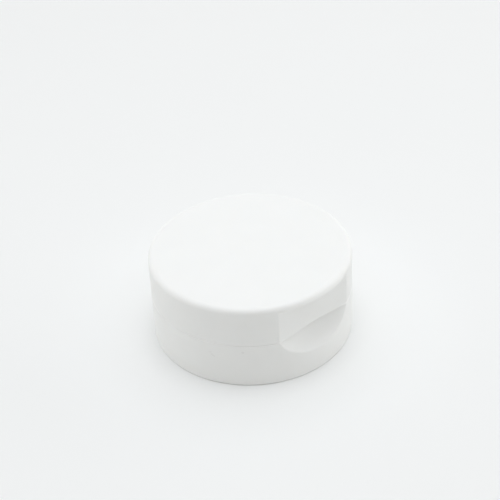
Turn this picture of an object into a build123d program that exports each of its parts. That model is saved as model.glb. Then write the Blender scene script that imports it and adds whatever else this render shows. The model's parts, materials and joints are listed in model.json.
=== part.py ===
"""Flip-top cap: a moulded closure with a hinged lid, a thumb recess at the front and a threaded neck sleeve.

The cap stands on the foot of its skirt. Z is the cap's axis and points up, the thumb recess faces -Y and the
living hinge is at +Y. The origin is on the axis, in the plane of the foot. All sizes are millimetres.
"""

import math
import os

from build123d import *

# Outside
cap_diameter = 50.0
cap_height = 22.7
base_height = 12.2
top_edge_radius = 1.4
foot_edge_radius = 0.5
seam_edge_radius = 0.05
seam_gap = 0.03

# Walls
skirt_wall = 1.4
deck_thickness = 1.5
lid_wall = 1.3
lid_top_thickness = 1.4
lid_ceiling_radius = 0.8
lid_hollow_corner_radius = 1.2

# Thumb recess: a flat on the lid, a scoop in the base that reaches in under the flat, and the rounded edge
# of the lid over the scoop, which the thumb lifts
flat_depth = 2.55
flat_corner_radius = 0.45
flat_rim_height = 1.6
scoop_drop = 5.45
scoop_undercut = 1.4
scoop_section_radius = 9.5
scoop_edge_radius = 0.6
catch_radius = 0.9

# Neck sleeve for a 24 mm bottle neck
neck_bore_radius = 12.15
neck_land_radius = 11.6
neck_land_height = 2.0
neck_lead_in = 0.6
sleeve_wall = 1.35
sleeve_recess = 1.0
seal_ring_radius = 6.5
seal_ring_wall = 0.9
seal_ring_depth = 1.6
rib_count = 8
rib_thickness = 1.0
rib_foot_height = 4.0

# Outlet nozzle on the deck, and the hollow plug of the lid that closes it
orifice_radius = 2.5
orifice_lead_in = 0.4
nozzle_wall = 1.2
nozzle_height = 3.2
nozzle_draft = 0.5
nozzle_root_radius = 0.7
plug_depth = 2.2
plug_clearance = 0.08
plug_taper = 0.45
plug_wall = 0.9

# Snap ring on the deck, which centres the lid
ring_wall = 1.2
ring_height = 1.6
ring_clearance = 0.35
ring_edge_radius = 0.3

# Living hinge: a folded film between a land on the base and a land on the lid
hinge_width = 13.0
hinge_overhang = 0.5
hinge_film_thickness = 0.28
hinge_film_inset = 0.3
hinge_fold_gap = 0.1
hinge_land_height = 1.8
hinge_land_lip = 0.4
hinge_land_proud = 0.1

# Derived places
cap_radius = cap_diameter / 2
flat_distance = cap_radius - flat_depth
flat_half_width = math.sqrt(cap_radius**2 - flat_distance**2)
deck_underside = base_height - deck_thickness
lid_foot = base_height + seam_gap
lid_ceiling = cap_height - lid_top_thickness
flat_top = cap_height - flat_rim_height
sleeve_radius = neck_bore_radius + sleeve_wall
skirt_bore_radius = cap_radius - skirt_wall
nozzle_top = base_height + nozzle_height
hinge_axis_y = cap_radius + hinge_overhang
hinge_axis_z = base_height + seam_gap / 2
hinge_land_y = cap_radius + hinge_land_proud
hinge_land_root_y = math.sqrt(cap_radius**2 - (hinge_width / 2) ** 2)

# The scoop is swept about an upright axis in front of the cap. At the parting line its arc runs through both
# corners of the flat and lies scoop_undercut behind it in the middle.
scoop_reach = flat_depth + scoop_undercut
scoop_sweep_radius = (flat_half_width**2 + scoop_undercut**2) / (2 * scoop_undercut)
scoop_axis_distance = cap_radius - scoop_reach + scoop_sweep_radius
scoop_plane = Plane(origin=(0, -scoop_axis_distance, 0), x_dir=(0, -1, 0), z_dir=(-1, 0, 0))
scoop_axis = Axis((0, -scoop_axis_distance, 0), (0, 0, 1))


def lid_outline(inset, corner_radius=0.0):
    """The round outline with its front flat, moved inwards by inset."""
    with BuildSketch() as outline:
        Circle(cap_radius - inset)
        with Locations((0, inset - flat_distance)):
            Rectangle(cap_diameter, cap_diameter, align=(Align.CENTER, Align.MAX), mode=Mode.SUBTRACT)
        if corner_radius:
            fillet(outline.vertices().sort_by(Axis.Y)[:2], corner_radius)
    return outline.sketch


def scoop_section(wall):
    """The section that the scoop sweeps, grown by the wall that backs it."""
    low = (scoop_sweep_radius - scoop_reach, base_height - scoop_drop)
    high = (scoop_sweep_radius, base_height)
    clear = (scoop_sweep_radius, cap_height)
    outer_edge = scoop_sweep_radius - 2 * scoop_reach
    with BuildSketch(scoop_plane) as section:
        with BuildLine():
            RadiusArc(low, high, -scoop_section_radius)
            Polyline(high, clear, (outer_edge, cap_height), (outer_edge, base_height - scoop_drop), low)
        make_face()
        if wall:
            offset(amount=wall, kind=Kind.INTERSECTION)
    return section.sketch


# Land of the hinge, standing on a plane: a lip that the film leaves from, sloping back into the wall
with BuildPart() as hinge_land:
    with BuildSketch(Plane.YZ):
        with BuildLine():
            Polyline(
                (0, 0),
                (hinge_land_y, 0),
                (hinge_land_y, hinge_land_lip),
                (hinge_land_root_y, hinge_land_height),
                (0, hinge_land_height),
                close=True,
            )
        make_face()
    extrude(amount=hinge_width / 2, both=True)
    with BuildSketch():
        Circle(cap_radius - min(skirt_wall, lid_wall) / 2)
    extrude(amount=hinge_land_height, mode=Mode.SUBTRACT)

# Snap ring on the deck
with BuildPart() as snap_ring:
    with BuildSketch(Plane.XY.offset(base_height)):
        add(lid_outline(lid_wall + ring_clearance))
        add(lid_outline(lid_wall + ring_clearance + ring_wall), mode=Mode.SUBTRACT)
    extrude(amount=ring_height)
    fillet(snap_ring.faces().sort_by(Axis.Z)[-1].edges(), ring_edge_radius)

# The space between the skirt and the neck sleeve, less the ribs and the scoop's backing wall
with BuildPart() as skirt_space:
    with BuildSketch():
        Circle(skirt_bore_radius)
        Circle(sleeve_radius, mode=Mode.SUBTRACT)
    extrude(amount=deck_underside)
    revolve(scoop_section(skirt_wall), axis=scoop_axis, mode=Mode.SUBTRACT)
    with BuildSketch(Plane.XY.offset(rib_foot_height)):
        with PolarLocations(cap_radius / 2, rib_count, start_angle=180 / rib_count):
            Rectangle(cap_radius, rib_thickness)
    extrude(amount=deck_underside - rib_foot_height, mode=Mode.SUBTRACT)

# The space inside the sleeve: mouth, threaded bore, plain land and the groove round the seal ring
with BuildPart() as neck_space:
    with BuildSketch(Plane.XZ):
        with BuildLine():
            bore_end = deck_underside - neck_land_height
            seal_foot = deck_underside - seal_ring_depth
            Polyline(
                (0, 0),
                (sleeve_radius, 0),
                (sleeve_radius, sleeve_recess),
                (neck_bore_radius + neck_lead_in, sleeve_recess),
                (neck_bore_radius, sleeve_recess + neck_lead_in),
                (neck_bore_radius, bore_end),
                (neck_land_radius, bore_end),
                (neck_land_radius, deck_underside),
                (seal_ring_radius, deck_underside),
                (seal_ring_radius, seal_foot),
                (seal_ring_radius - seal_ring_wall, seal_foot),
                (seal_ring_radius - seal_ring_wall, deck_underside),
                (0, deck_underside),
                close=True,
            )
        make_face()
    revolve(axis=Axis.Z)

# Base: skirt, deck, neck sleeve, nozzle, snap ring and the lower hinge land
with BuildPart() as base:
    with BuildSketch():
        Circle(cap_radius)
    extrude(amount=base_height)
    fillet(base.edges().group_by(Axis.Z)[0], foot_edge_radius)
    revolve(scoop_section(0), axis=scoop_axis, mode=Mode.SUBTRACT)
    scoop_lower_edge = base.edges(Select.LAST).sort_by(Axis.Z)[0]
    fillet(scoop_lower_edge, scoop_edge_radius)
    fillet(base.edges().group_by(Axis.Z)[-1], seam_edge_radius)
    add(skirt_space.part, mode=Mode.SUBTRACT)
    add(neck_space.part, mode=Mode.SUBTRACT)
    with BuildSketch(Plane.XZ):
        with BuildLine():
            nozzle_foot_radius = orifice_radius + nozzle_wall + nozzle_draft
            Polyline(
                (0, base_height),
                (nozzle_foot_radius, base_height),
                (orifice_radius + nozzle_wall, nozzle_top),
                (0, nozzle_top),
                close=True,
            )
        make_face()
    revolve(axis=Axis.Z)
    nozzle_root = base.edges(Select.LAST).filter_by_position(Axis.Z, base_height, base_height)
    fillet(nozzle_root, nozzle_root_radius)
    with BuildSketch(Plane.XZ):
        with BuildLine():
            Polyline(
                (0, deck_underside),
                (orifice_radius, deck_underside),
                (orifice_radius, nozzle_top - orifice_lead_in),
                (orifice_radius + orifice_lead_in, nozzle_top),
                (0, nozzle_top),
                close=True,
            )
        make_face()
    revolve(axis=Axis.Z, mode=Mode.SUBTRACT)
    add(snap_ring.part)
    with Locations((0, 0, base_height)):
        add(hinge_land.part, rotation=(0, 180, 0))
base.part.label = "base"

# The hollow of the lid
with BuildPart() as lid_space:
    with BuildSketch(Plane.XY.offset(lid_foot)):
        add(lid_outline(lid_wall, lid_hollow_corner_radius))
    extrude(amount=lid_ceiling - lid_foot)
    fillet(lid_space.faces().sort_by(Axis.Z)[-1].edges(), lid_ceiling_radius)

# Lid: top, skirt with its front flat and catch edge, plug and the upper hinge land
with BuildPart() as lid:
    with BuildSketch(Plane.XY.offset(lid_foot)):
        Circle(cap_radius)
    extrude(amount=cap_height - lid_foot)
    fillet(lid.edges().group_by(Axis.Z)[-1], top_edge_radius)
    with BuildSketch(Plane.XY.offset(lid_foot)):
        with Locations((0, -flat_distance)):
            Rectangle(cap_diameter, cap_diameter, align=(Align.CENTER, Align.MAX))
    extrude(amount=flat_top - lid_foot, mode=Mode.SUBTRACT)
    flat_face = lid.faces().filter_by(Axis.Y).sort_by(Axis.Y)[0]
    fillet(flat_face.edges().filter_by(Axis.Z), flat_corner_radius)
    fillet(lid.faces().sort_by(Axis.Z)[0].edges(), seam_edge_radius)
    with BuildSketch(scoop_plane):
        with Locations((scoop_sweep_radius - scoop_undercut + catch_radius, lid_foot + catch_radius)):
            Rectangle(2 * catch_radius, 2 * catch_radius, align=(Align.MAX, Align.MAX))
            Circle(catch_radius, mode=Mode.SUBTRACT)
    revolve(axis=scoop_axis, mode=Mode.SUBTRACT)
    add(lid_space.part, mode=Mode.SUBTRACT)
    with BuildSketch(Plane.XZ):
        with BuildLine():
            plug_radius = orifice_radius - plug_clearance
            plug_tip = nozzle_top - plug_depth
            Polyline(
                (plug_radius - plug_taper - plug_wall, plug_tip),
                (plug_radius - plug_taper, plug_tip),
                (plug_radius, nozzle_top),
                (plug_radius, lid_ceiling),
                (plug_radius - plug_taper - plug_wall, lid_ceiling),
                close=True,
            )
        make_face()
    revolve(axis=Axis.Z)
    with Locations((0, 0, lid_foot)):
        add(hinge_land.part)
lid.part.label = "lid"

# Living hinge: the film as it lies folded over the hinge axis with the lid closed
with BuildPart() as living_hinge:
    with BuildSketch(Plane.YZ):
        fold_radius = hinge_film_thickness + hinge_fold_gap / 2
        leaf_length = hinge_axis_y - hinge_land_y
        with Locations((hinge_axis_y, hinge_axis_z)):
            Circle(fold_radius)
            Rectangle(leaf_length, 2 * fold_radius, align=(Align.MAX, Align.CENTER))
            Circle(hinge_fold_gap / 2, mode=Mode.SUBTRACT)
            Rectangle(leaf_length, hinge_fold_gap, align=(Align.MAX, Align.CENTER), mode=Mode.SUBTRACT)
    extrude(amount=hinge_width / 2 - hinge_film_inset, both=True)
living_hinge.part.label = "living_hinge"

os.makedirs("parts", exist_ok=True)
for piece in (base, lid, living_hinge):
    export_step(piece.part, f"parts/{piece.part.label}.step")
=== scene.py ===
"""Flip-top cap: the finish of its mouldings, the hinge film, the thread, the ejector marks and the studio.

Run as a script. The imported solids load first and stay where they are; every new piece is placed from them.
"""

import json
import math

import bmesh
import bpy
from bpy.props import FloatProperty, FloatVectorProperty, IntProperty, PointerProperty
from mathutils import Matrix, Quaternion, Vector


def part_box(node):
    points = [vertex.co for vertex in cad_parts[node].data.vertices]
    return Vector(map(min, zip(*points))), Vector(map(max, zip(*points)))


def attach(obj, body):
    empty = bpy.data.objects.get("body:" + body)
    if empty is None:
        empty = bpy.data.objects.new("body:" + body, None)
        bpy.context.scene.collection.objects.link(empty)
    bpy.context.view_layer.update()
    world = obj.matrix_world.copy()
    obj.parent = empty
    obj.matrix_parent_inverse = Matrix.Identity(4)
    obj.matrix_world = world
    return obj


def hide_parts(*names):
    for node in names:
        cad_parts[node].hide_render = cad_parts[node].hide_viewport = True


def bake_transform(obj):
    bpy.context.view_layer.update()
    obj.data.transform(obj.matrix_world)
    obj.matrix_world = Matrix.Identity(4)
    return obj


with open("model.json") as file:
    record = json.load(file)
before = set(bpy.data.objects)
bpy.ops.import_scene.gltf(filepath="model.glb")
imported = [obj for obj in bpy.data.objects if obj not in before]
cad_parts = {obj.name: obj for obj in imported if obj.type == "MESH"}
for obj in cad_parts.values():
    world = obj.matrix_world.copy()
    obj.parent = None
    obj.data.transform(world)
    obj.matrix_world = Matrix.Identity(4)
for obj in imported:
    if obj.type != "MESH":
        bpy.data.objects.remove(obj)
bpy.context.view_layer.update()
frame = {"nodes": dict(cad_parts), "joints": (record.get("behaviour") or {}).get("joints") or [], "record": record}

bl_info = {
    "name": "Flip-Top Cap",
    "version": (1, 0, 0),
    "blender": (4, 5, 0),
    "location": "View3D > Sidebar > Flip-Top Cap",
    "description": "Finishes a moulded flip-top cap and sets it in a plain studio",
    "category": "Object",
}

# A millimetre in metres, and the distance under which two points are one
MM = 0.001
MERGE = 0.001 * MM

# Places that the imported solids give
wall_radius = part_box("base")[1].x
lid_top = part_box("lid")[1].z
film_low, film_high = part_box("living_hinge")
hinge = frame["joints"][0]
hinge_axis = Vector(hinge["pos_m"])
neck = next(m for m in frame["record"]["mounts"] if m["name"] == "neck_thread")
neck_radius = neck["dims"]["r_mm"] * MM
neck_length = neck["dims"]["length_mm"] * MM
neck_foot = neck["pos_m"][2] - neck_length / 2


# Sizes and colours that a user would change


class FinishSettings(bpy.types.PropertyGroup):
    """Colour and surface of the moulded plastic."""

    plastic: FloatVectorProperty(
        name="Plastic",
        description="Colour of the white polypropylene",
        subtype="COLOR",
        size=3,
        min=0.0,
        max=1.0,
        default=(0.898, 0.911, 0.901),
    )
    scuff: FloatVectorProperty(
        name="Scuff",
        description="Colour of the faint handling scuffs",
        subtype="COLOR",
        size=3,
        min=0.0,
        max=1.0,
        default=(0.70, 0.70, 0.69),
    )
    # Painted light: the colour of the paler band that lifts the shade in the seam's groove and at the foot's
    # contact
    painted_light: FloatVectorProperty(
        name="Whitened",
        description="Colour of the outer edges that handling has whitened",
        subtype="COLOR",
        size=3,
        min=0.0,
        max=1.0,
        default=(0.98, 0.99, 0.982),
    )
    # Width of that painted light band at the seam and the foot
    painted_light_width: FloatProperty(
        name="Whitened Width",
        description="Width of the whitened band on each side of the seam, and half its width at the foot",
        subtype="DISTANCE",
        unit="LENGTH",
        min=0.00005,
        default=0.42 * MM,
    )
    roughness: FloatProperty(
        name="Roughness",
        description="Mean roughness of the satin skin",
        subtype="FACTOR",
        min=0.0,
        max=1.0,
        default=0.5,
    )
    grain: FloatProperty(
        name="Grain",
        description="Width of the mould's fine spark-eroded grain",
        subtype="DISTANCE",
        unit="LENGTH",
        min=0.00002,
        default=0.22 * MM,
    )
    grain_height: FloatProperty(
        name="Grain Height",
        description="Depth of the fine grain",
        subtype="DISTANCE",
        unit="LENGTH",
        min=0.0,
        default=0.004 * MM,
    )
    ripple: FloatProperty(
        name="Ripple",
        description="Width of the slow waviness left by cooling",
        subtype="DISTANCE",
        unit="LENGTH",
        min=0.0001,
        default=7.0 * MM,
    )
    ripple_height: FloatProperty(
        name="Ripple Height",
        description="Depth of the slow waviness",
        subtype="DISTANCE",
        unit="LENGTH",
        min=0.0,
        default=0.006 * MM,
    )
    haze: FloatProperty(
        name="Haze",
        description="Width of the fine haze that wiping leaves",
        subtype="DISTANCE",
        unit="LENGTH",
        min=0.0001,
        default=1.6 * MM,
    )
    translucency: FloatProperty(
        name="Translucency",
        description="Share of the light that spreads under the skin",
        subtype="FACTOR",
        min=0.0,
        max=1.0,
        default=0.25,
    )
    bleed: FloatProperty(
        name="Bleed",
        description="How far light spreads under the skin",
        subtype="DISTANCE",
        unit="LENGTH",
        min=0.0,
        default=0.6 * MM,
    )


class FilmSettings(bpy.types.PropertyGroup):
    """Sizes of the folded hinge film."""

    thickness: FloatProperty(
        name="Thickness",
        description="Thickness of the film",
        subtype="DISTANCE",
        unit="LENGTH",
        min=0.00005,
        default=0.28 * MM,
    )
    edge: FloatProperty(
        name="Edge",
        description="Rounding of the film's free edges",
        subtype="DISTANCE",
        unit="LENGTH",
        min=0.0,
        default=0.06 * MM,
    )
    fold_steps: IntProperty(
        name="Fold Steps",
        description="Steps round the fold",
        min=4,
        max=64,
        default=24,
    )


class ThreadSettings(bpy.types.PropertyGroup):
    """Sizes of the screw thread inside the neck sleeve."""

    pitch: FloatProperty(
        name="Pitch",
        description="Rise of the thread in one turn",
        subtype="DISTANCE",
        unit="LENGTH",
        min=0.0005,
        default=3.175 * MM,
    )
    turns: FloatProperty(
        name="Turns",
        description="Turns of the thread",
        min=0.5,
        max=3.0,
        default=1.45,
    )
    start: FloatProperty(
        name="Start",
        description="Height of the first turn above the sleeve's bore foot",
        subtype="DISTANCE",
        unit="LENGTH",
        min=0.0,
        default=1.1 * MM,
    )
    depth: FloatProperty(
        name="Depth",
        description="How far the ridge stands in from the bore",
        subtype="DISTANCE",
        unit="LENGTH",
        min=0.0001,
        default=1.0 * MM,
    )
    seat: FloatProperty(
        name="Seat",
        description="How far the ridge is let into the bore's wall",
        subtype="DISTANCE",
        unit="LENGTH",
        min=0.0,
        default=0.12 * MM,
    )
    root_width: FloatProperty(
        name="Root Width",
        description="Width of the ridge at the wall",
        subtype="DISTANCE",
        unit="LENGTH",
        min=0.0001,
        default=1.75 * MM,
    )
    crest_width: FloatProperty(
        name="Crest Width",
        description="Width of the ridge at its crest",
        subtype="DISTANCE",
        unit="LENGTH",
        min=0.0001,
        default=0.8 * MM,
    )
    steps: IntProperty(
        name="Steps",
        description="Steps in one turn",
        min=16,
        max=256,
        default=96,
    )


class MarkSettings(bpy.types.PropertyGroup):
    """Sizes of the ejector pins' marks on the hidden faces."""

    diameter: FloatProperty(
        name="Diameter",
        description="Diameter of an ejector pin",
        subtype="DISTANCE",
        unit="LENGTH",
        min=0.0005,
        default=3.0 * MM,
    )
    height: FloatProperty(
        name="Height",
        description="How far a mark stands off its face",
        subtype="DISTANCE",
        unit="LENGTH",
        min=0.00001,
        default=0.06 * MM,
    )
    rim: FloatProperty(
        name="Rim",
        description="Width of the mark's raised rim",
        subtype="DISTANCE",
        unit="LENGTH",
        min=0.00005,
        default=0.22 * MM,
    )
    seat: FloatProperty(
        name="Seat",
        description="How far a mark is let into its face",
        subtype="DISTANCE",
        unit="LENGTH",
        min=0.0,
        default=0.02 * MM,
    )
    neck_land: FloatProperty(
        name="Neck Land",
        description="Height of the plain land between the neck's bore and the deck",
        subtype="DISTANCE",
        unit="LENGTH",
        min=0.0,
        default=2.0 * MM,
    )
    lid_thickness: FloatProperty(
        name="Lid Thickness",
        description="Thickness of the lid's top",
        subtype="DISTANCE",
        unit="LENGTH",
        min=0.0,
        default=1.4 * MM,
    )
    deck_reach: FloatProperty(
        name="Deck Reach",
        description="Distance of the marks under the deck from the cap's axis",
        subtype="DISTANCE",
        unit="LENGTH",
        min=0.0,
        default=18.4 * MM,
    )
    lid_reach: FloatProperty(
        name="Lid Reach",
        description="Distance of the marks in the lid from the cap's axis",
        subtype="DISTANCE",
        unit="LENGTH",
        min=0.0,
        default=13.5 * MM,
    )


class StudioSettings(bpy.types.PropertyGroup):
    """The pale studio round the cap."""

    floor: FloatVectorProperty(
        name="Floor",
        description="Colour of the floor",
        subtype="COLOR",
        size=3,
        min=0.0,
        max=1.0,
        default=(0.901, 0.914, 0.912),
    )
    backdrop: FloatVectorProperty(
        name="Backdrop",
        description="Colour behind the floor",
        subtype="COLOR",
        size=3,
        min=0.0,
        max=1.0,
        default=(0.88, 0.885, 0.895),
    )
    ambient_tint: FloatVectorProperty(
        name="Ambient Tint",
        description="Colour of the even light from all round",
        subtype="COLOR",
        size=3,
        min=0.0,
        max=1.0,
        default=(1.0, 0.94, 0.865),
    )
    ambient: FloatProperty(
        name="Ambient",
        description="Strength of the even light from all round",
        min=0.0,
        default=0.39,
    )
    overhead: FloatProperty(
        name="Overhead",
        description="Power of the small softbox straight above",
        unit="POWER",
        min=0.0,
        default=0.985,
    )
    canopy_tint: FloatVectorProperty(
        name="Canopy Tint",
        description="Colour of the wide softbox above",
        subtype="COLOR",
        size=3,
        min=0.0,
        max=1.0,
        default=(0.85, 0.914, 1.0),
    )
    canopy: FloatProperty(
        name="Canopy",
        description="Power of the wide softbox above",
        unit="POWER",
        min=0.0,
        default=4.49,
    )
    rear: FloatProperty(
        name="Rear",
        description="Power of the high softbox behind",
        unit="POWER",
        min=0.0,
        default=0.839,
    )
    left: FloatProperty(
        name="Left",
        description="Power of the low softbox on the left",
        unit="POWER",
        min=0.0,
        default=1.384,
    )
    right: FloatProperty(
        name="Right",
        description="Power of the low softbox on the right",
        unit="POWER",
        min=0.0,
        default=1.11,
    )
    right_rear: FloatProperty(
        name="Right Rear",
        description="Power of the softbox behind on the right",
        unit="POWER",
        min=0.0,
        default=0.845,
    )
    camera_place: FloatVectorProperty(
        name="Camera Place",
        description="Where the camera stands",
        subtype="TRANSLATION",
        unit="LENGTH",
        size=3,
        default=(-0.166968, -0.201829, 0.211007),
    )
    camera_aim: FloatVectorProperty(
        name="Camera Aim",
        description="Where the camera looks",
        subtype="TRANSLATION",
        unit="LENGTH",
        size=3,
        default=(0.003654, 0.004351, 0.017931),
    )
    camera_roll: FloatProperty(
        name="Camera Roll",
        description="Turn of the camera about its line of sight",
        subtype="ANGLE",
        unit="ROTATION",
        default=math.radians(-2.9713),
    )
    lens: FloatProperty(
        name="Lens",
        description="Focal length of the camera",
        subtype="DISTANCE_CAMERA",
        min=1.0,
        default=95.0057,
    )


class CapSettings(bpy.types.PropertyGroup):
    """Everything that a user would change on the cap."""

    finish: PointerProperty(type=FinishSettings)
    film: PointerProperty(type=FilmSettings)
    thread: PointerProperty(type=ThreadSettings)
    marks: PointerProperty(type=MarkSettings)
    studio: PointerProperty(type=StudioSettings)


# Shader expressions


class Socket:
    """One output of a shader node. Arithmetic on it adds the Math nodes that it needs."""

    def __init__(self, tree, output):
        self.tree = tree
        self.output = output

    def math(self, operation, *values):
        return node(self.tree, "ShaderNodeMath", {"operation": operation}, dict(enumerate(values)))

    def __add__(self, other):
        return self.math("ADD", self, other)

    def __radd__(self, other):
        return self.math("ADD", other, self)

    def __sub__(self, other):
        return self.math("SUBTRACT", self, other)

    def __rsub__(self, other):
        return self.math("SUBTRACT", other, self)

    def __mul__(self, other):
        return self.math("MULTIPLY", self, other)

    def __truediv__(self, other):
        return self.math("DIVIDE", self, other)


def node(tree, kind, settings=None, sockets=None, output=0):
    """Adds a node, sets its settings first and its sockets after, and gives one of its outputs."""
    made = tree.nodes.new(kind)
    for name, value in (settings or {}).items():
        setattr(made, name, value)
    for name, value in (sockets or {}).items():
        target = pin(made.inputs, name)
        if isinstance(value, Socket):
            tree.links.new(value.output, target)
        else:
            target.default_value = value
    return Socket(tree, pin(made.outputs, output)) if made.outputs else None


def pin(sockets, name):
    """The socket at a number, or the one in use under a name."""
    if isinstance(name, int):
        return sockets[name]
    return next(s for s in sockets if s.enabled and s.name == name)


def new_material(name):
    """An empty material, and its tree to fill."""
    material = bpy.data.materials.new(name)
    material.use_nodes = True
    tree = material.node_tree
    tree.nodes.clear()
    return material, tree


def show(tree, surface):
    """Links a shader to the material's output."""
    node(tree, "ShaderNodeOutputMaterial", {}, {"Surface": surface})


def band(tree, value, low, high):
    """0 below low, 1 above high and smooth between them."""
    return node(
        tree,
        "ShaderNodeMapRange",
        {"interpolation_type": "SMOOTHSTEP"},
        {"Value": value, "From Min": low, "From Max": high},
    )


def noise(tree, place, width, detail, roughness=0.5):
    """Cloud noise whose features are about as wide as given, from 0 to 1."""
    return node(
        tree,
        "ShaderNodeTexNoise",
        {"noise_dimensions": "3D"},
        {"Vector": place, "Scale": 1 / width, "Detail": detail, "Roughness": roughness},
    )


def spot(tree, place, centre, radii, turn):
    """A soft spot on the surface: 1 at its centre and 0 outside its radii."""
    local = node(
        tree,
        "ShaderNodeMapping",
        {"vector_type": "TEXTURE"},
        {"Vector": place, "Location": centre, "Rotation": turn, "Scale": radii},
    )
    reach = node(tree, "ShaderNodeVectorMath", {"operation": "LENGTH"}, {0: local}, "Value")
    full = 0.35
    return 1 - band(tree, reach, full, 1.0)


def mix(tree, factor, first, second):
    """A colour between two colours."""
    return node(
        tree,
        "ShaderNodeMix",
        {"data_type": "RGBA"},
        {"Factor": factor, "A": first, "B": second},
        "Result",
    )


# Finishes


def wall_mark(degrees, height, radii, tilt=0.0):
    """Centre, radii and turn of a mark on the round wall, from its angle to the front and height in mm."""
    angle = math.radians(degrees)
    centre = (wall_radius * math.sin(angle), -wall_radius * math.cos(angle), height * MM)
    return centre, tuple(r * MM for r in radii), (0.0, tilt, angle)


# The stretch in front where the seam and foot get less painted light, so that their shade stays deeper there, and
# by how much less
FRONT_SHADE_STRETCH = wall_mark(-45.0, 6.0, (10.0, 30.0, 30.0))
FRONT_SHADE_SHARE = 0.65

# Depths under the outer wall at which the painted light on the seam and foot edges starts and is full
EDGE_LIGHT_START = 1.2 * MM
EDGE_LIGHT_FULL = 0.4 * MM

# The handling scuffs on the base, each with its depth
SCUFFS = (
    (wall_mark(-63.2, 8.52, (0.95, 1.0, 0.45), 0.70), 0.36),
    (wall_mark(-64.7, 9.32, (0.55, 1.0, 0.4), -0.5), 0.2),
    (wall_mark(-46.3, 10.34, (0.45, 1.0, 0.4)), 0.35),
)

# The plastic's variation: its colour in dull and pale clouds, and the swings of its roughness
DULL_SHARE = 0.994
PALE_SHARE = 1.003
FLOW_SWING = 0.08
GRAIN_SWING = 0.10
HAZE_SWING = 0.05

# Polypropylene's refraction, and the reach of red, green and blue light under its skin
PLASTIC_IOR = 1.49
BLEED_SHARES = (1.0, 0.95, 0.9)


def painted_edge_light(tree, place, finish):
    """Painted light on the outer edges at the seam and the foot, which lifts the shade in the seam's groove and at
    the foot's contact: all round, and less in front.
    """
    height = node(tree, "ShaderNodeSeparateXYZ", {}, {"Vector": place}, "Z")
    seam = height - hinge_axis.z
    nearest = seam.math("MINIMUM", seam.math("ABSOLUTE", seam), height / 2)
    level = node(tree, "ShaderNodeVectorMath", {"operation": "MULTIPLY"}, {0: place, 1: (1.0, 1.0, 0.0)})
    radius = node(tree, "ShaderNodeVectorMath", {"operation": "LENGTH"}, {0: level}, "Value")
    edge = 1 - band(tree, nearest, finish.painted_light_width / 3, finish.painted_light_width)
    outside = band(tree, radius, wall_radius - EDGE_LIGHT_START, wall_radius - EDGE_LIGHT_FULL)
    # Painted shade: the front stretch keeps a deeper shade at the seam and the foot
    front_shade = spot(tree, place, *FRONT_SHADE_STRETCH)
    return edge * outside * (1 - front_shade * FRONT_SHADE_SHARE)


def polypropylene(name, finish, scuffs=(), paint_edge_light=False, bleached=0.0):
    """Satin moulded polypropylene: flow clouds, painted light on the seam and foot edges, faint scuffs, mould
    grain and slow ripple.
    """
    material, tree = new_material(name)
    place = node(tree, "ShaderNodeTexCoord", {}, {}, "Object")
    flow = noise(tree, place, finish.ripple, detail=3.0)
    grain = noise(tree, place, finish.grain, detail=2.0, roughness=0.6)
    haze = noise(tree, place, finish.haze, detail=4.0, roughness=0.65)
    color = tuple(finish.plastic)
    dull = tuple(c * DULL_SHARE for c in color)
    pale = tuple(min(1.0, c * PALE_SHARE + bleached) for c in color)
    tone = mix(tree, band(tree, flow, low=0.3, high=0.7), (*dull, 1.0), (*pale, 1.0))
    # Painted light: a paler band at the seam and the foot lifts the shade that falls in the groove and at the
    # contact
    if paint_edge_light:
        tone = mix(tree, painted_edge_light(tree, place, finish), tone, (*finish.painted_light, 1.0))
    for mark, depth in scuffs:
        worn = spot(tree, place, *mark) * band(tree, haze, low=0.3, high=0.55) * depth
        tone = mix(tree, worn, tone, (*finish.scuff, 1.0))
    swing = (flow - 0.5) * FLOW_SWING + (grain - 0.5) * GRAIN_SWING + (haze - 0.5) * HAZE_SWING
    ripple = node(
        tree,
        "ShaderNodeBump",
        {},
        {"Strength": 1.0, "Distance": finish.ripple_height, "Height": flow},
    )
    relief = node(
        tree,
        "ShaderNodeBump",
        {},
        {"Strength": 1.0, "Distance": finish.grain_height, "Height": grain, "Normal": ripple},
    )
    skin = node(
        tree,
        "ShaderNodeBsdfPrincipled",
        {"subsurface_method": "RANDOM_WALK"},
        {
            "Base Color": tone,
            "Roughness": finish.roughness + swing,
            "Normal": relief,
            "IOR": PLASTIC_IOR,
            "Subsurface Weight": finish.translucency,
            "Subsurface Radius": BLEED_SHARES,
            "Subsurface Scale": finish.bleed,
        },
    )
    show(tree, skin)
    return material


def paper(name, color):
    """The pale studio floor: matt, with a faint tooth."""
    tooth_width = 0.5 * MM
    tooth_height = 0.01 * MM
    cloud_width = 60 * MM
    cloud_share = 0.99
    material, tree = new_material(name)
    place = node(tree, "ShaderNodeTexCoord", {}, {}, "Object")
    tooth = noise(tree, place, tooth_width, detail=3.0)
    cloud = noise(tree, place, cloud_width, detail=2.0)
    dull = tuple(c * cloud_share for c in color)
    tone = mix(tree, cloud, (*dull, 1.0), (*color, 1.0))
    relief = node(tree, "ShaderNodeBump", {}, {"Distance": tooth_height, "Height": tooth})
    skin = node(
        tree,
        "ShaderNodeBsdfPrincipled",
        {},
        {"Base Color": tone, "Roughness": 0.85, "Specular IOR Level": 0.2, "Normal": relief},
    )
    show(tree, skin)
    return material


# Modelling helpers


def put_down():
    """Leaves edit mode and deselects everything, so that an operator meets only the new piece."""
    if bpy.context.object and bpy.context.object.mode != "OBJECT":
        bpy.ops.object.mode_set(mode="OBJECT")
    bpy.ops.object.select_all(action="DESELECT")


def settle(piece, name):
    """Moves a new piece's place into its mesh and names it."""
    bpy.ops.object.transform_apply(location=True, rotation=True, scale=True)
    piece.name = name
    piece.data.name = name


def edit(piece, domain):
    """Opens a piece in edit mode, with the wanted kind of element selectable."""
    bpy.context.view_layer.objects.active = piece
    bpy.ops.object.mode_set(mode="EDIT")
    bpy.ops.mesh.select_mode(type=domain)


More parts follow.
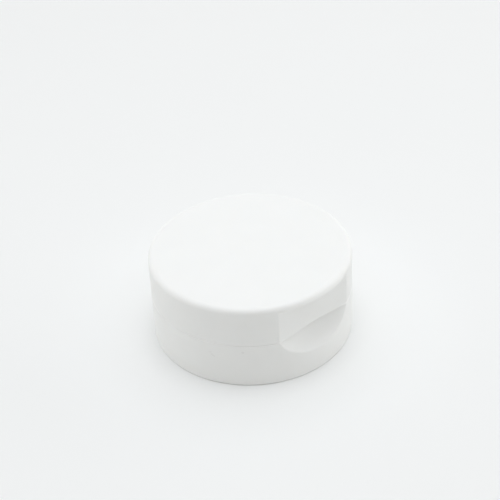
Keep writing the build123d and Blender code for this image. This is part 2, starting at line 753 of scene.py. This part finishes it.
def pick(piece, kind, wanted):
    """Selects the verts, edges or faces that a test accepts, and nothing else."""
    bpy.ops.mesh.select_all(action="DESELECT")
    shape = bmesh.from_edit_mesh(piece.data)
    chosen = [part for part in getattr(shape, kind) if wanted(part)]
    if not chosen:
        raise RuntimeError(f"{piece.name}: no {kind} to select")
    for part in chosen:
        part.select_set(True)
    shape.select_flush_mode()
    bmesh.update_edit_mesh(piece.data)


def close_up(piece, angle):
    """Merges doubles, turns the faces outwards and smooths all edges flatter than an angle in degrees."""
    bpy.ops.mesh.select_all(action="SELECT")
    bpy.ops.mesh.remove_doubles(threshold=MERGE)
    bpy.ops.mesh.normals_make_consistent(inside=False)
    bpy.ops.object.mode_set(mode="OBJECT")
    bpy.ops.object.shade_smooth_by_angle(angle=math.radians(angle))


def dress(piece, material, body):
    """Gives a finished piece its material and the body that it rides on."""
    piece.data.materials.clear()
    piece.data.materials.append(material)
    if body:
        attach(piece, body)


def refinish(name, material):
    """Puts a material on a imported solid, whose mesh stays as it is."""
    piece = frame["nodes"][name]
    for slot in piece.material_slots:
        slot.material = material


# Operators, one for each piece or group of like pieces


class CAP_OT_finish_base(bpy.types.Operator):
    """Finish the base in satin white plastic with its faint scuffs"""

    bl_idname = "cap.finish_base"
    bl_label = "Finish Base"

    def execute(self, context):
        finish = context.scene.flip_top_cap.finish
        # The edge option paints light on the seam and foot edges to lift their shade
        refinish("base", polypropylene("base_polypropylene", finish, SCUFFS, paint_edge_light=True))
        return {"FINISHED"}


class CAP_OT_finish_lid(bpy.types.Operator):
    """Finish the lid in satin white plastic"""

    bl_idname = "cap.finish_lid"
    bl_label = "Finish Lid"

    def execute(self, context):
        finish = context.scene.flip_top_cap.finish
        # The edge option paints light on the seam and foot edges to lift their shade
        refinish("lid", polypropylene("lid_polypropylene", finish, paint_edge_light=True))
        return {"FINISHED"}


class CAP_OT_hinge_film(bpy.types.Operator):
    """Make the thin film that folds between the base and the lid"""

    bl_idname = "cap.hinge_film"
    bl_label = "Make Hinge Film"

    def execute(self, context):
        cap = context.scene.flip_top_cap
        film = cap.film
        width = film_high.x - film_low.x
        leaf = hinge_axis.y - film_low.y
        put_down()
        bpy.ops.mesh.primitive_plane_add(
            size=1,
            location=(0, film_low.y, film_low.z + film.thickness / 2),
            rotation=(math.radians(90), 0, 0),
        )
        piece = context.object
        piece.scale = (width, film.thickness, 1)
        settle(piece, "hinge_film")
        edit(piece, "FACE")
        bpy.ops.mesh.select_all(action="SELECT")
        bpy.ops.mesh.extrude_region_move(TRANSFORM_OT_translate={"value": (0, leaf, 0)})
        bpy.ops.mesh.spin(
            steps=film.fold_steps,
            angle=math.pi,
            center=hinge_axis,
            axis=(-1, 0, 0),
        )
        bpy.ops.mesh.extrude_region_move(TRANSFORM_OT_translate={"value": (0, -leaf, 0)})
        bpy.ops.mesh.select_all(action="SELECT")
        bpy.ops.mesh.remove_doubles(threshold=MERGE)
        bpy.ops.mesh.normals_make_consistent(inside=False)
        bpy.ops.mesh.select_mode(type="EDGE")
        side = width / 2 - MERGE
        corner = math.radians(60)
        pick(
            piece,
            "edges",
            lambda e: all(abs(v.co.x) > side for v in e.verts) and e.calc_face_angle(0) > corner,
        )
        bpy.ops.mesh.bevel(offset=film.edge, segments=3, affect="EDGES")
        close_up(piece, angle=40)
        material = polypropylene("film_polypropylene", cap.finish, bleached=0.02)
        dress(piece, material, None)
        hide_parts("living_hinge")
        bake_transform(piece)
        return {"FINISHED"}


class CAP_OT_neck_thread(bpy.types.Operator):
    """Make the right-handed screw thread's ridge inside the neck sleeve"""

    bl_idname = "cap.neck_thread"
    bl_label = "Make Neck Thread"

    def execute(self, context):
        cap = context.scene.flip_top_cap
        thread = cap.thread
        root = neck_radius + thread.seat
        crest = neck_radius - thread.depth
        foot = neck_foot + thread.start
        put_down()
        bpy.ops.mesh.primitive_plane_add(
            size=1,
            location=((root + crest) / 2, 0, foot),
            rotation=(math.radians(90), 0, 0),
        )
        piece = context.object
        piece.scale = (root - crest, thread.root_width, 1)
        settle(piece, "neck_thread")
        edit(piece, "VERT")
        pick(piece, "verts", lambda v: v.co.x < crest + MERGE)
        bpy.ops.transform.resize(
            value=(1, 1, thread.crest_width / thread.root_width),
            center_override=(crest, 0, foot),
        )
        rounding = thread.crest_width * 0.3
        bpy.ops.mesh.bevel(offset=rounding, segments=4, affect="VERTICES")
        bpy.ops.mesh.select_all(action="SELECT")
        bpy.ops.mesh.delete(type="ONLY_FACE")
        bpy.ops.object.mode_set(mode="OBJECT")
        corners = len(piece.data.vertices)
        turn = piece.modifiers.new("thread", "SCREW")
        turn.axis = "Z"
        turn.angle = 2 * math.pi * thread.turns
        turn.screw_offset = thread.pitch * thread.turns
        turn.steps = turn.render_steps = round(thread.steps * thread.turns)
        turn.use_normal_calculate = True
        bpy.ops.object.modifier_apply(modifier=turn.name)
        rings = len(piece.data.vertices) // corners
        edit(piece, "VERT")
        self.run_out(piece, thread, root, foot, corners, rings)
        for ring in (0, rings - 1):
            pick(piece, "verts", lambda v: v.index // corners == ring)
            bpy.ops.mesh.edge_face_add()
        close_up(piece, angle=35)
        dress(piece, polypropylene("thread_polypropylene", cap.finish), "base")
        return {"FINISHED"}

    def run_out(self, piece, thread, root, foot, corners, rings):
        """Sinks both ends of the ridge into the wall over an eighth of a turn."""
        fade = thread.steps // 8
        tip = 0.4
        for ring in (*range(fade), *range(rings - fade, rings)):
            share = (min(ring, rings - 1 - ring) + tip) / fade
            share = share * share * (3 - 2 * share)
            along = ring / (rings - 1) * thread.turns
            angle = 2 * math.pi * along
            centre = (root * math.cos(angle), root * math.sin(angle), foot + along * thread.pitch)
            pick(piece, "verts", lambda v: v.index // corners == ring)
            bpy.ops.transform.resize(value=(share, share, share), center_override=centre)


# The ejector marks' angles, in degrees from +X
DECK_MARKS = (0, 45, 90, 135, 180)
LID_MARKS = (45, 135, 225, 315)


class CAP_OT_ejector_marks(bpy.types.Operator):
    """Make the ejector pins' round marks under the deck and inside the lid"""

    bl_idname = "cap.ejector_marks"
    bl_label = "Make Ejector Marks"

    def execute(self, context):
        cap = context.scene.flip_top_cap
        marks = cap.marks
        material = polypropylene("mark_polypropylene", cap.finish)
        deck = neck_foot + neck_length + marks.neck_land
        ceiling = lid_top - marks.lid_thickness
        rows = (
            ("base", marks.deck_reach, deck, DECK_MARKS),
            ("lid", marks.lid_reach, ceiling, LID_MARKS),
        )
        pattern = self.pattern(context, marks)
        for body, reach, height, angles in rows:
            for count, degrees in enumerate(angles, 1):
                angle = math.radians(degrees)
                place = (reach * math.cos(angle), reach * math.sin(angle), height)
                piece = self.copy(pattern, f"{body}_ejector_mark_{count}", place)
                dress(piece, material, body)
        bpy.data.objects.remove(pattern)
        return {"FINISHED"}

    def pattern(self, context, marks):
        """One mark at the origin: a shallow dish with a raised rim, facing down."""
        dish = marks.height * 0.7
        rounding = marks.height * 0.3
        put_down()
        bpy.ops.mesh.primitive_cylinder_add(
            vertices=48,
            radius=marks.diameter / 2,
            depth=marks.height + marks.seat,
            location=(0, 0, (marks.seat - marks.height) / 2),
        )
        piece = context.object
        settle(piece, "ejector_mark")
        edit(piece, "FACE")
        pick(piece, "faces", lambda f: f.normal.z < -0.9)
        bpy.ops.mesh.inset(thickness=marks.rim)
        bpy.ops.transform.translate(value=(0, 0, dish))
        bpy.ops.mesh.inset(thickness=marks.rim)
        bpy.ops.mesh.select_mode(type="EDGE")
        rim = -marks.height + MERGE
        pick(piece, "edges", lambda e: all(v.co.z < rim for v in e.verts) and len(e.link_faces) == 2)
        bpy.ops.mesh.bevel(offset=rounding, segments=2, affect="EDGES")
        close_up(piece, angle=50)
        return piece

    def copy(self, pattern, name, place):
        """A copy of the mark with its own mesh, set on its face."""
        put_down()
        pattern.select_set(True)
        bpy.context.view_layer.objects.active = pattern
        bpy.ops.object.duplicate()
        piece = bpy.context.object
        piece.location = place
        settle(piece, name)
        return piece


# The level directions away from the camera and to its right, and up
AWAY = Vector((0.637, 0.7705, 0))
ACROSS = Vector((0.7705, -0.6374, 0))
UP = Vector((0, 0, 1))

# The soft lamps' places and sizes in metres; the power of each is the studio setting of its name
SOFTBOXES = (
    ("overhead", UP * 0.72, (0.32, 0.32)),
    ("canopy", UP * 0.8, (1.3, 1.3)),
    ("rear", AWAY * 0.7 + UP * 0.64, (1.5, 0.5)),
    ("right_rear", AWAY * 0.34 + ACROSS * 0.81 + UP * 0.36, (0.9, 0.36)),
    ("right", AWAY * 0.15 + ACROSS * 0.93 + UP * 0.045, (0.7, 0.08)),
    ("left", AWAY * 0.25 - ACROSS * 0.9 + UP * 0.045, (0.9, 0.08)),
)

# The point in the cap that the soft lamps face
LAMP_AIM = UP * 0.01


class CAP_OT_studio(bpy.types.Operator):
    """Set the floor, the soft lamps, the background and the camera"""

    bl_idname = "cap.studio"
    bl_label = "Set Studio"

    def execute(self, context):
        studio = context.scene.flip_top_cap.studio
        self.floor(context, studio)
        self.background(context.scene, studio)
        for name, place, size in SOFTBOXES:
            lamp = self.softbox(context, name, place, size)
            lamp.energy = getattr(studio, name)
            if name == "canopy":
                lamp.color = studio.canopy_tint
        self.camera(context, studio)
        context.scene.view_settings.view_transform = "Standard"
        return {"FINISHED"}

    def floor(self, context, studio):
        """A large pale floor under the cap's foot."""
        put_down()
        bpy.ops.mesh.primitive_grid_add(x_subdivisions=8, y_subdivisions=8, size=8, location=(0, 0, 0))
        floor = context.object
        settle(floor, "studio_floor")
        floor.data.materials.append(paper("studio_paper", tuple(studio.floor)))

    def background(self, scene, studio):
        """A pale background to the camera, and an even light to everything else."""
        world = bpy.data.worlds.new("studio_background")
        world.use_nodes = True
        tree = world.node_tree
        tree.nodes.clear()
        seen = node(tree, "ShaderNodeLightPath", {}, {}, "Is Camera Ray")
        glossy = node(tree, "ShaderNodeLightPath", {}, {}, "Is Glossy Ray")
        through = node(tree, "ShaderNodeLightPath", {}, {}, "Is Transmission Ray")
        direct = seen.math("MAXIMUM", seen.math("MAXIMUM", seen, glossy), through)
        pale = node(tree, "ShaderNodeBackground", {}, {"Color": (*studio.backdrop, 1.0), "Strength": 1.0})
        ambient = {"Color": (*studio.ambient_tint, 1.0), "Strength": studio.ambient}
        even = node(tree, "ShaderNodeBackground", {}, ambient)
        both = node(tree, "ShaderNodeMixShader", {}, {0: direct, 1: even, 2: pale})
        node(tree, "ShaderNodeOutputWorld", {}, {"Surface": both})
        scene.world = world

    def softbox(self, context, name, place, size):
        """The light of a large soft lamp that faces the cap and stays out of the camera's sight."""
        facing = (LAMP_AIM - place).to_track_quat("-Z", "Y")
        put_down()
        bpy.ops.object.light_add(type="AREA", location=place, rotation=facing.to_euler())
        lamp = context.object
        lamp.name = f"softbox_{name}"
        lamp.data.shape = "RECTANGLE"
        lamp.data.size, lamp.data.size_y = size
        lamp.visible_camera = False
        return lamp.data

    def camera(self, context, studio):
        """The camera at the viewing angle, a little turned from level."""
        place = Vector(studio.camera_place)
        aim = Vector(studio.camera_aim)
        roll = Quaternion((0, 0, 1), studio.camera_roll)
        facing = (aim - place).to_track_quat("-Z", "Y") @ roll
        put_down()
        bpy.ops.object.camera_add(location=place, rotation=facing.to_euler())
        camera = context.object
        camera.data.sensor_width = 36.0
        camera.data.lens = studio.lens
        camera.data.clip_start = 0.005
        camera.data.clip_end = 50.0
        context.scene.camera = camera


class CAP_PT_panel(bpy.types.Panel):
    """The cap's sizes, colours and making steps"""

    bl_idname = "CAP_PT_panel"
    bl_label = "Flip-Top Cap"
    bl_space_type = "VIEW_3D"
    bl_region_type = "UI"
    bl_category = "Flip-Top Cap"

    def draw(self, context):
        cap = context.scene.flip_top_cap
        for title, group, steps in PANEL_ROWS:
            box = self.layout.box()
            box.label(text=title)
            settings = getattr(cap, group)
            for name in settings.bl_rna.properties.keys():
                if name not in {"rna_type", "name"}:
                    box.prop(settings, name)
            for step in steps:
                box.operator(step.bl_idname)


PANEL_ROWS = (
    ("Finish", "finish", (CAP_OT_finish_base, CAP_OT_finish_lid)),
    ("Hinge Film", "film", (CAP_OT_hinge_film,)),
    ("Neck Thread", "thread", (CAP_OT_neck_thread,)),
    ("Ejector Marks", "marks", (CAP_OT_ejector_marks,)),
    ("Studio", "studio", (CAP_OT_studio,)),
)

CLASSES = (
    FinishSettings,
    FilmSettings,
    ThreadSettings,
    MarkSettings,
    StudioSettings,
    CapSettings,
    CAP_OT_finish_base,
    CAP_OT_finish_lid,
    CAP_OT_hinge_film,
    CAP_OT_neck_thread,
    CAP_OT_ejector_marks,
    CAP_OT_studio,
    CAP_PT_panel,
)


def register():
    for item in CLASSES:
        bpy.utils.register_class(item)
    bpy.types.Scene.flip_top_cap = PointerProperty(type=CapSettings)


def unregister():
    del bpy.types.Scene.flip_top_cap
    for item in reversed(CLASSES):
        bpy.utils.unregister_class(item)


def main():
    register()
    bpy.ops.cap.finish_base()
    bpy.ops.cap.finish_lid()
    bpy.ops.cap.hinge_film()
    bpy.ops.cap.neck_thread()
    bpy.ops.cap.ejector_marks()
    bpy.ops.cap.studio()


if __name__ == "__main__":
    main()
